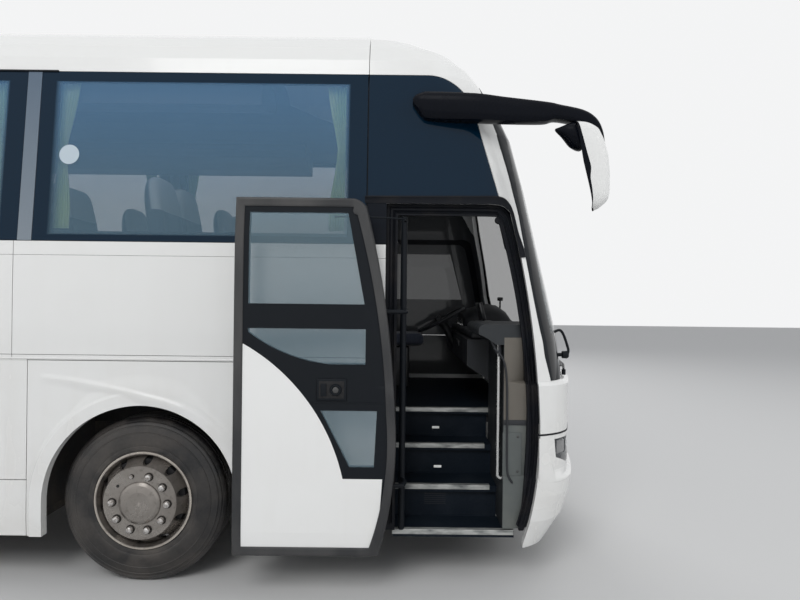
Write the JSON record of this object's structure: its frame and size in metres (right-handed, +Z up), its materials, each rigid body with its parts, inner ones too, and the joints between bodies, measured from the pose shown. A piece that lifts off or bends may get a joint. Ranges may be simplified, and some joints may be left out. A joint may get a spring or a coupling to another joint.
{
  "type": "coach bus",
  "caption": "Single-deck touring coach with swing-out doors, glazed saloon, steered front axle, twin rear wheels and lift-up luggage flaps",
  "frame": {"origin": "on the ground under the coach, on its centre line, halfway along it", "axes": "+X forward, +Y to the driver's left, +Z up"},
  "size_m": [12.239, 2.96, 3.7298],
  "materials": {
    "body_white": "gloss white paint with light road dust",
    "bumper_white": "gloss white paint on moulded plastic",
    "black_trim": "black rubber and satin black plastic",
    "dark_glass": "dark tinted glass",
    "clear_glass": "lightly tinted glass",
    "tyre_rubber": "worn rubber, dusty",
    "wheel_steel": "worn silver paint with brown dirt",
    "axle_iron": "dirty black paint",
    "frame_steel": "dirty black paint",
    "floor_board": "grey flooring",
    "step_grey": "grey ribbed flooring with aluminium nosings",
    "lining_grey": "grey moulded panel",
    "interior_dark": "dark soft-touch plastic",
    "seat_fabric": "dark blue woven cloth",
    "curtain_fabric": "pale green gathered cloth",
    "chrome_bar": "polished tube",
    "lamp_lens": "clear and coloured lenses",
    "mirror_white": "white mirror housings with dark backs",
    "roof_white": "white glass-fibre"
  },
  "bodies": {
    "root": {"curtains": "curtain_fabric", "dashboard": "interior_dark", "door_jambs": "black_trim", "seats": "seat_fabric", "engine_block": "axle_iron", "entry_lining": "lining_grey", "entry_steps": "step_grey", "floor_deck": "floor_board", "front_bumper": "bumper_white", "front_grille": "black_trim", "front_mask": "bumper_white", "handrail": "chrome_bar", "lamps": "lamp_lens", "luggage_racks": "lining_grey", "mirror_arms": "black_trim", "mirror_heads": "mirror_white", "rear_bumper": "bumper_white", "roof_shell": "roof_white", "roof_unit": "roof_white", "window_panes": "dark_glass", "side_left": "body_white", "side_right": "body_white", "tail_body": "bumper_white", "underframe": "frame_steel", "wheel_housings": "black_trim", "window_frames": "black_trim", "windscreen": "clear_glass", "wipers": "black_trim", "front_axle": "axle_iron", "rear_axle": "axle_iron", "number_plates": "black_trim", "body_rails": "frame_steel"},
    "knuckle_left": {"knuckle_left": "axle_iron"},
    "knuckle_right": {"knuckle_right": "axle_iron"},
    "wheel_front_left": {"tyre_front_left": "tyre_rubber", "rim_front_left": "wheel_steel"},
    "wheel_front_right": {"tyre_front_right": "tyre_rubber", "rim_front_right": "wheel_steel"},
    "wheels_rear_left": {"tyres_rear_left": "tyre_rubber", "rims_rear_left": "wheel_steel"},
    "wheels_rear_right": {"tyres_rear_right": "tyre_rubber", "rims_rear_right": "wheel_steel"},
    "steering_wheel": {"steering_wheel": "interior_dark"},
    "front_door_arm": {"front_door_arms": "black_trim"},
    "front_door_leaf": {"front_door_frame": "black_trim", "front_door_panel": "body_white", "front_door_glass": "clear_glass"},
    "mid_door_arm": {"mid_door_arms": "black_trim"},
    "mid_door_leaf": {"mid_door_leaf": "body_white", "mid_door_glass": "dark_glass"},
    "engine_door": {"engine_door": "body_white"},
    "roof_hatch_front": {"roof_hatch_front": "roof_white"},
    "roof_hatch_rear": {"roof_hatch_rear": "roof_white"},
    "flap_left_1": {"flap_left_1": "body_white"},
    "flap_left_2": {"flap_left_2": "body_white"},
    "flap_left_3": {"flap_left_3": "body_white"},
    "flap_right_1": {"flap_right_1": "body_white"},
    "flap_right_2": {"flap_right_2": "body_white"},
    "flap_right_3": {"flap_right_3": "body_white"}
  },
  "joints": [
    {"name": "steer_left", "type": "hinge", "parent": "root", "child": "knuckle_left", "pos_m": [3.28, 0.93, 0.505], "axis": [0, 0, 1], "range_deg": [-42, 42]},
    {"name": "front_wheel_left", "type": "hinge", "parent": "knuckle_left", "child": "wheel_front_left", "pos_m": [3.28, 1.095, 0.505], "axis": [0, 1, 0], "continuous": true},
    {"name": "rear_wheels_left", "type": "hinge", "parent": "root", "child": "wheels_rear_left", "pos_m": [-2.82, 0.93, 0.505], "axis": [0, 1, 0], "continuous": true},
    {"name": "steer_right", "type": "hinge", "parent": "root", "child": "knuckle_right", "pos_m": [3.28, -0.93, 0.505], "axis": [0, 0, 1], "range_deg": [-42, 42]},
    {"name": "front_wheel_right", "type": "hinge", "parent": "knuckle_right", "child": "wheel_front_right", "pos_m": [3.28, -1.095, 0.505], "axis": [0, 1, 0], "continuous": true},
    {"name": "rear_wheels_right", "type": "hinge", "parent": "root", "child": "wheels_rear_right", "pos_m": [-2.82, -0.93, 0.505], "axis": [0, 1, 0], "continuous": true},
    {"name": "steering_turn", "type": "hinge", "parent": "root", "child": "steering_wheel", "pos_m": [5.225, 0.64, 1.575], "axis": [-0.4695, 0, 0.8829], "range_deg": [-672, 672]},
    {"name": "front_door_swing", "type": "hinge", "parent": "root", "child": "front_door_arm", "pos_m": [4.86201, -1.183, 1.3], "axis": [0, 0, 1], "range_deg": [0, 154.11]},
    {"name": "front_door_level", "type": "hinge", "parent": "front_door_arm", "child": "front_door_leaf", "pos_m": [4.45, -1.383, 1.3], "axis": [0, 0, 1], "range_deg": [-154.11, 0]},
    {"name": "mid_door_swing", "type": "hinge", "parent": "root", "child": "mid_door_arm", "pos_m": [-1.94799, -1.183, 1.1], "axis": [0, 0, -1], "range_deg": [0, 154.11]},
    {"name": "mid_door_level", "type": "hinge", "parent": "mid_door_arm", "child": "mid_door_leaf", "pos_m": [-1.49, -1.183, 1.1], "axis": [0, 0, -1], "range_deg": [-154.11, 0]},
    {"name": "flap_left_1_lift", "type": "hinge", "parent": "root", "child": "flap_left_1", "pos_m": [-1.34267, 1.2725, 1.3625], "axis": [1, 0, 0], "range_deg": [0, 88]},
    {"name": "flap_left_2_lift", "type": "hinge", "parent": "root", "child": "flap_left_2", "pos_m": [0.23, 1.2725, 1.3625], "axis": [1, 0, 0], "range_deg": [0, 88]},
    {"name": "flap_left_3_lift", "type": "hinge", "parent": "root", "child": "flap_left_3", "pos_m": [1.80267, 1.2725, 1.3625], "axis": [1, 0, 0], "range_deg": [0, 88]},
    {"name": "flap_right_1_lift", "type": "hinge", "parent": "root", "child": "flap_right_1", "pos_m": [-0.5985, -1.2725, 1.3625], "axis": [-1, 0, 0], "range_deg": [0, 88]},
    {"name": "flap_right_2_lift", "type": "hinge", "parent": "root", "child": "flap_right_2", "pos_m": [0.6765, -1.2725, 1.3625], "axis": [-1, 0, 0], "range_deg": [0, 88]},
    {"name": "flap_right_3_lift", "type": "hinge", "parent": "root", "child": "flap_right_3", "pos_m": [1.9515, -1.2725, 1.3625], "axis": [-1, 0, 0], "range_deg": [0, 88]},
    {"name": "engine_door_lift", "type": "hinge", "parent": "root", "child": "engine_door", "pos_m": [-6.092, 0, 1.7025], "axis": [0, 1, 0], "range_deg": [0, 80]},
    {"name": "roof_hatch_front_lift", "type": "hinge", "parent": "root", "child": "roof_hatch_front", "pos_m": [1.35, 0, 3.5453], "axis": [0, -1, 0], "range_deg": [0, 30]},
    {"name": "roof_hatch_rear_lift", "type": "hinge", "parent": "root", "child": "roof_hatch_rear", "pos_m": [-4.2, 0, 3.5453], "axis": [0, -1, 0], "range_deg": [0, 30]}
  ],
  "couplings": [
    {"joint": "steer_right", "follows": "steer_left", "ratio": 1},
    {"joint": "steering_turn", "follows": "steer_left", "ratio": 16},
    {"joint": "front_door_level", "follows": "front_door_swing", "ratio": -1},
    {"joint": "mid_door_level", "follows": "mid_door_swing", "ratio": -1}
  ]
}
